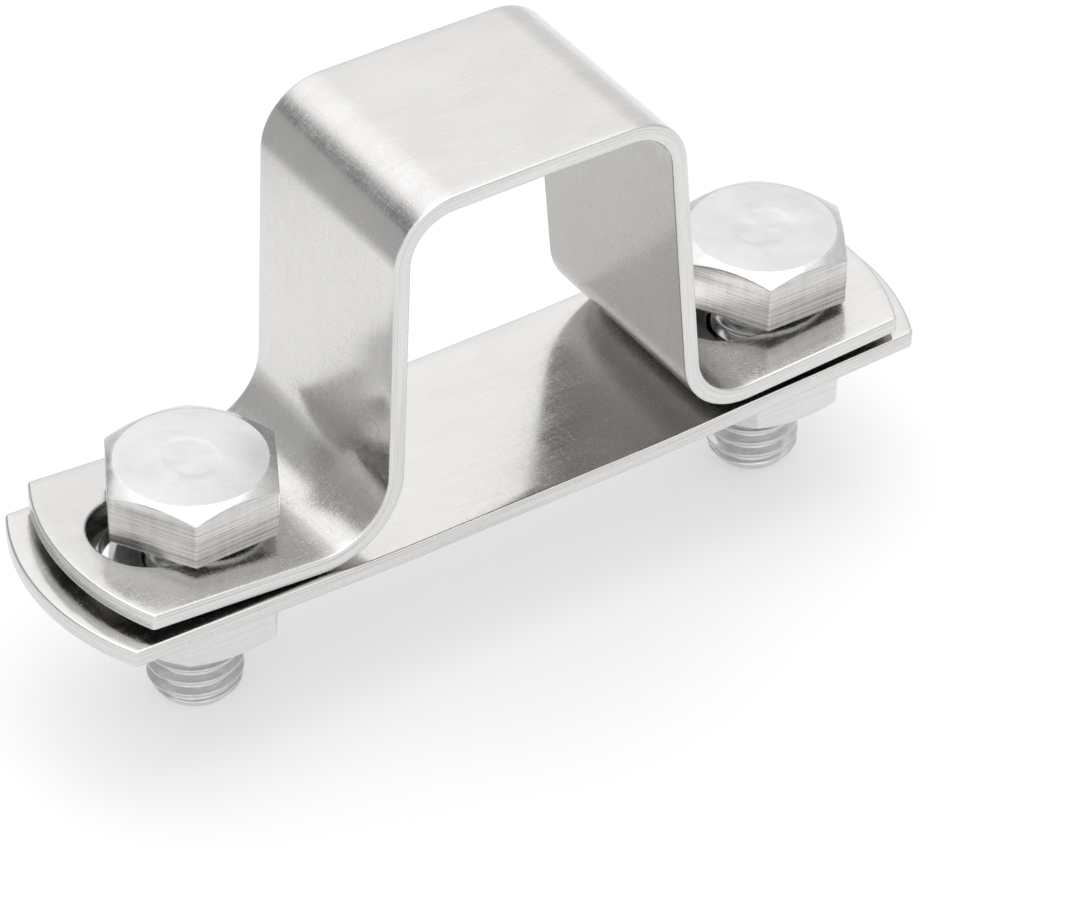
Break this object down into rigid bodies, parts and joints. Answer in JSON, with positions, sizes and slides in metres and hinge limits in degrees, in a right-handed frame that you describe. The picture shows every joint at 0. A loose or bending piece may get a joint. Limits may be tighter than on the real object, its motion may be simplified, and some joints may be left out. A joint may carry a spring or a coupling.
{
  "type": "square u-bolt clamp",
  "caption": "Flat-strip square U clamp with a slotted back bar, held by hexagon screws and nuts, for gripping a square tube.",
  "frame": {"origin": "centre of the back bar's upper face, which is the face the tube sits on", "axes": "+X along the back bar, Y along the passage and the tube, +Z from the bar towards the strap's crown and the screw heads"},
  "size_m": [0.078, 0.0197, 0.0462],
  "materials": {
    "strap_steel": "bright rolled stainless strip, half-mirror, with fine scratches and a paler sheared edge",
    "bar_steel": "bright rolled stainless strip, half-mirror, with a paler sheared edge",
    "screw_steel": "cold-formed stainless, satin on the head's top and drawn on its flats, bright rolled thread",
    "nut_steel": "pale satin stainless, turned faces"
  },
  "bodies": {
    "strap": {"u_strap": "strap_steel"},
    "bar": {"back_bar": "bar_steel"},
    "left_screw": {"screw_left": "screw_steel"},
    "right_screw": {"screw_right": "screw_steel"},
    "left_nut": {"nut_left": "nut_steel"},
    "right_nut": {"nut_right": "nut_steel"}
  },
  "joints": [
    {"name": "left_screw_turn", "type": "hinge", "parent": "strap", "child": "left_screw", "pos_m": [-0.02535, 0.00035, 0], "axis": [0, 0, 1], "range_deg": [0, 1980]},
    {"name": "right_screw_turn", "type": "hinge", "parent": "strap", "child": "right_screw", "pos_m": [0.0284, 0.00035, 0], "axis": [0, 0, 1], "range_deg": [0, 1980]},
    {"name": "left_nut_travel", "type": "slide", "parent": "strap", "child": "left_nut", "axis": [0, 0, -1], "range_m": [0, 0.00688]},
    {"name": "right_nut_travel", "type": "slide", "parent": "strap", "child": "right_nut", "axis": [0, 0, -1], "range_m": [0, 0.00688]},
    {"name": "bar_travel", "type": "slide", "parent": "strap", "child": "bar", "axis": [0, 0, -1], "range_m": [0, 0.00688]}
  ],
  "couplings": [
    {"joint": "right_screw_turn", "follows": "left_screw_turn", "ratio": 1},
    {"joint": "left_nut_travel", "follows": "left_screw_turn", "m_per_rad": 0.00019894},
    {"joint": "right_nut_travel", "follows": "left_screw_turn", "m_per_rad": 0.00019894},
    {"joint": "bar_travel", "follows": "left_screw_turn", "m_per_rad": 0.00019894}
  ]
}
